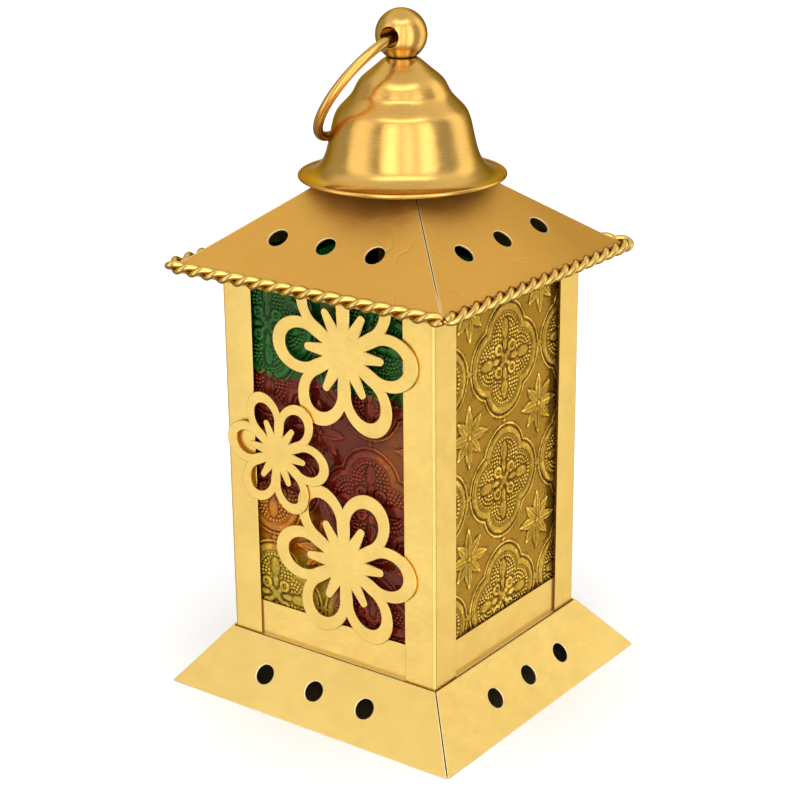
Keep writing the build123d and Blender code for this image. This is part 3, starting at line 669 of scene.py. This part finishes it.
def glass(name, bands, roughness, clear, lustre, gleam, highlight_gain):
    """Coloured figured glass; bands gives the colour from the node tree and the lantern's point."""
    material, tree, shader = new_material(name)
    point = place(tree)
    relief, cavity = attribute(tree, "figure_height"), attribute(tree, "figure_cavity")
    colour = bands(tree, point)
    # Painted shade: the ground darker than the raised figure and darker still in grooves; painted highlight:
    # crests brighter
    ground_shade = mix(tree, 1.0, colour, GROUND_SHADE_TINT, "MULTIPLY")
    colour = mix(tree, spread(tree, relief, *GROUND_SHADE_RANGE, 0.0, 1.0), ground_shade, colour)
    groove_shade = mix(tree, 1.0, colour, GROOVE_SHADE_TINT, "MULTIPLY")
    colour = mix(tree, spread(tree, cavity, *GROOVE_SHADE_RANGE, 1.0, 0.0), colour, groove_shade)
    crest_highlight = mix(tree, 1.0, colour, highlight_gain, "MULTIPLY")
    colour = mix(tree, spread(tree, cavity, *CREST_HIGHLIGHT_RANGE, 0.0, 1.0), colour, crest_highlight)
    tree.links.new(colour, shader.inputs["Base Color"])
    streaks = noise(tree, point, STREAKS, 3.0, 0.6)
    uneven = spread(tree, streaks, 0.3, 0.7, roughness - 0.04, roughness + 0.06)
    tree.links.new(uneven, shader.inputs["Roughness"])
    shader.inputs["IOR"].default_value = 1.5
    shader.inputs["Specular IOR Level"].default_value = 0.25
    shader.inputs["Specular Tint"].default_value = (*gleam, 1.0)
    shader.inputs["Metallic"].default_value = lustre
    shader.inputs["Transmission Weight"].default_value = clear
    emboss(tree, shader, (streaks, 0.15, STREAK_DEPTH))
    return material


AMBER_LIGHT, AMBER_DARK = (0.50, 0.30, 0.040), (0.40, 0.22, 0.024)
# Specular tint, and the gain of the painted highlight on crests
AMBER_GLEAM, AMBER_CREST_HIGHLIGHT = (0.9, 0.62, 0.20), (3.1, 3.3, 4.6)


def amber(tree, point):
    """Golden amber with slow drifts of tone."""
    drift = noise(tree, point, 30.0, 3.0, 0.5)
    return mix(tree, spread(tree, drift, 0.3, 0.7, 0.0, 1.0), AMBER_LIGHT, AMBER_DARK)


GREEN, MAROON = (0.010, 0.125, 0.018), (0.185, 0.017, 0.009)
ORANGE, YELLOW = (0.56, 0.19, 0.012), (0.50, 0.34, 0.025)
RUST = (0.33, 0.085, 0.010)
# Specular tint, and the gain of the painted highlight on crests
PAINT_GLEAM, PAINT_CREST_HIGHLIGHT = (1.0, 0.80, 0.55), (2.6, 2.3, 1.7)

# Borders of the painted colours, in millimetres above the table or across the pane from its middle
PAINT_WANDER = 5.0
GREEN_FROM, ORANGE_TO, LEFT_TO = (123.0, 125.5), (77.0, 81.0), (-7.0, 1.0)
RUST_LEVEL, RUST_FADE, RUST_FROM, RUST_SHARE = 103.0, (8.0, 19.0), (15.0, 26.0), 0.9
YELLOW_TO, YELLOW_SLOPE, YELLOW_START = (57.0, 60.0), 0.33, 28.0


def painted(right):
    """Colours painted in bands: green above, maroon across, rust at right, orange and yellow low left."""
    def bands(tree, point):
        height = compute(tree, "DIVIDE", along(tree, point, "Z"), MM)
        dot = add(tree, "ShaderNodeVectorMath", {0: point, 1: right / MM}, operation="DOT_PRODUCT")
        across = dot.outputs["Value"]
        wander = spread(tree, noise(tree, point, 55.0, 3.0, 0.55), 0.25, 0.75, -PAINT_WANDER, PAINT_WANDER)
        level = compute(tree, "ADD", height, wander)
        aside = compute(tree, "ADD", across, wander)
        left = spread(tree, aside, *LEFT_TO, 1.0, 0.0)
        low_left = compute(tree, "MULTIPLY", left, spread(tree, level, *ORANGE_TO, 1.0, 0.0))
        off_rust = compute(tree, "ABSOLUTE", compute(tree, "SUBTRACT", level, RUST_LEVEL))
        rust = compute(tree, "MULTIPLY", spread(tree, off_rust, *RUST_FADE, 1.0, 0.0),
                       spread(tree, aside, *RUST_FROM, 0.0, RUST_SHARE))
        colour = mix(tree, low_left, mix(tree, rust, MAROON, RUST), ORANGE)
        slope = compute(tree, "MULTIPLY", compute(tree, "ADD", across, YELLOW_START), YELLOW_SLOPE)
        sloping = compute(tree, "ADD", level, slope)
        foot = compute(tree, "MULTIPLY", left, spread(tree, sloping, *YELLOW_TO, 1.0, 0.0))
        colour = mix(tree, foot, colour, YELLOW)
        return mix(tree, spread(tree, level, *GREEN_FROM, 0.0, 1.0), colour, GREEN)
    return bands


FINE, COARSE = 0.25, 0.45  # grid step of the relief, in millimetres
PANES = (  # node, outward direction, a quatrefoil's centre, grid step, seed, joint and clearness
    ("glass_front", Vector((0, -1, 0)), (-27.5, 38.0), FINE, 11, (124.0, 12.5), 0.30),
    ("glass_right", Vector((1, 0, 0)), (0.3, 131.0), FINE, 21, None, 0.08),
    ("glass_left", Vector((-1, 0, 0)), (0.0, 38.0), COARSE, 31, None, 0.60),
    ("door_glass", Vector((0, 1, 0)), (0.0, 84.0), COARSE, 41, None, 0.60),
)
for node, out, middle, step, seed, join, clear in PANES:
    if slot_of_node[node] == "amber_glass":
        finish = glass("amber_glass", amber, 0.16, clear, 0.65, AMBER_GLEAM, AMBER_CREST_HIGHLIGHT)
    else:
        bands = painted(UP.cross(out))
        finish = glass(f"painted_{node}", bands, 0.10, clear, 0.10, PAINT_GLEAM, PAINT_CREST_HIGHLIGHT)
    figured_pane(node, out, middle, step, seed, join, finish)


# Floor, and a sheet of painted shade under the base

FLOOR_REACH = 40.0
FLOOR_TONE, FLOOR_SHADE = (0.96, 0.96, 0.96), (0.93, 0.93, 0.93)
# A dark sheet under the base is painted shade on the floor there: inset, height and tones
SHADE_PATCH_INSET, SHADE_PATCH_HEIGHT = 2 * MM, 0.05 * MM
SHADE_PATCH_TONE, SHADE_PATCH_DARK = (0.34, 0.23, 0.11), (0.30, 0.20, 0.09)


def paper_sheet(name, reach, height, tone, shade):
    """A square of paper round the lantern's axis."""
    paper, tree, shader = new_material(f"{name}_paper")
    tree.links.new(mix(tree, noise(tree, place(tree), 30.0, 2.0), shade, tone), shader.inputs["Base Color"])
    shader.inputs["Roughness"].default_value = 0.9
    mesh = bpy.data.meshes.new(name)
    corners = [(x * reach, y * reach, height) for x, y in ((-1, -1), (1, -1), (1, 1), (-1, 1))]
    mesh.from_pydata(corners, [], [(0, 1, 2, 3)])
    sheet = new_piece(name, mesh, paper)
    return sheet


studio_floor = paper_sheet("studio_floor", FLOOR_REACH, 0.0, FLOOR_TONE, FLOOR_SHADE)
studio_floor.visible_glossy = False
# Painted shade: a dark sheet on the floor under the base
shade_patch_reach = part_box("base_right_panel")[1].x - SHADE_PATCH_INSET
paper_sheet("shade_patch_below_base", shade_patch_reach, SHADE_PATCH_HEIGHT, SHADE_PATCH_TONE, SHADE_PATCH_DARK)


# Light

def sector(tree, around, azimuth, half, edge, outside, inside):
    """A value by azimuth: inside near one azimuth, outside elsewhere, and soft edges at half its width."""
    off = compute(tree, "COSINE", compute(tree, "SUBTRACT", around, radians(azimuth)))
    return spread(tree, off, cos(radians(half + edge)), cos(radians(half - edge)), outside, inside)


world = bpy.data.worlds.new("studio")
bpy.context.scene.world = world
world.use_nodes = True
tree = world.node_tree
sky = add(tree, "ShaderNodeTexCoord").outputs["Generated"]
rise = along(tree, sky, "Z")
toward_front = compute(tree, "MULTIPLY", along(tree, sky, "Y"), -1.0)
around = compute(tree, "ARCTAN2", along(tree, sky, "X"), toward_front)
strips = BETWEEN_STRIPS
for azimuth, half, bright in STRIPS:
    strip = sector(tree, around, azimuth, half, STRIP_EDGE, BETWEEN_STRIPS, bright)
    strips = compute(tree, "MAXIMUM", strips, strip)
strip_share = compute(tree, "MULTIPLY", spread(tree, rise, *STRIP_FOOT, 0.0, 1.0),
                      spread(tree, rise, *STRIP_TOP, 1.0, 0.0))
ceiling = spread(tree, rise, *CEILING_RISE, *CEILING_LEVEL)
beyond = compute(tree, "MULTIPLY", ceiling, spread(tree, rise, *NADIR_RISE, NADIR_SHARE, 1.0))
level = add(tree, "ShaderNodeMix", {0: strip_share, 2: beyond, 3: strips}, data_type="FLOAT").outputs[0]
over = spread(tree, rise, SKYLIGHT_LOW - SKYLIGHT_SOFT, SKYLIGHT_LOW + SKYLIGHT_SOFT, 0.0, 1.0)
below = spread(tree, rise, SKYLIGHT_HIGH - SKYLIGHT_SOFT, SKYLIGHT_HIGH + SKYLIGHT_SOFT, 1.0, 0.0)
window = sector(tree, around, SKYLIGHT_AZIMUTH, SKYLIGHT_HALF, SKYLIGHT_EDGE, 0.0, SKYLIGHT_LEVEL)
skylight = compute(tree, "MULTIPLY", window, compute(tree, "MULTIPLY", over, below))
level = compute(tree, "ADD", level, skylight)
tree.nodes["Background"].inputs["Color"].default_value = (1.0, 1.0, 1.0, 1.0)
tree.links.new(level, tree.nodes["Background"].inputs["Strength"])

# An overhead softbox lights the paper but isn't mirrored in the brass
lamp = bpy.data.lights.new("overhead_softbox", "AREA")
lamp.size = SOFTBOX_SIDE
lamp.energy = SOFTBOX_POWER
softbox = bpy.data.objects.new("overhead_softbox", lamp)
bpy.context.collection.objects.link(softbox)
softbox.location = (0, 0, SOFTBOX_HEIGHT)
softbox.visible_glossy = False


# Camera

camera_data = bpy.data.cameras.new("camera")
camera = bpy.data.objects.new("camera", camera_data)
bpy.context.collection.objects.link(camera)
camera_data.sensor_width = SENSOR
camera_data.lens = FOCAL_PIXELS * SENSOR / IMAGE_WIDTH
camera_data.shift_x = -CENTRE_OFF_RIGHT / IMAGE_WIDTH
camera_data.shift_y = CENTRE_OFF_DOWN / IMAGE_WIDTH
camera_data.clip_start = 10 * MM
azimuth, pitch = radians(CAMERA_AZIMUTH), radians(CAMERA_PITCH)
toward_camera = Vector((sin(azimuth) * cos(pitch), -cos(azimuth) * cos(pitch), sin(pitch)))
camera.location = LOOK_AT + toward_camera * CAMERA_DISTANCE
aim = (-toward_camera).to_track_quat("-Z", "Y").to_matrix() @ Matrix.Rotation(radians(CAMERA_ROLL), 3, "Z")
camera.rotation_euler = aim.to_euler()
bpy.context.scene.camera = camera
bpy.context.scene.view_settings.view_transform = "Standard"
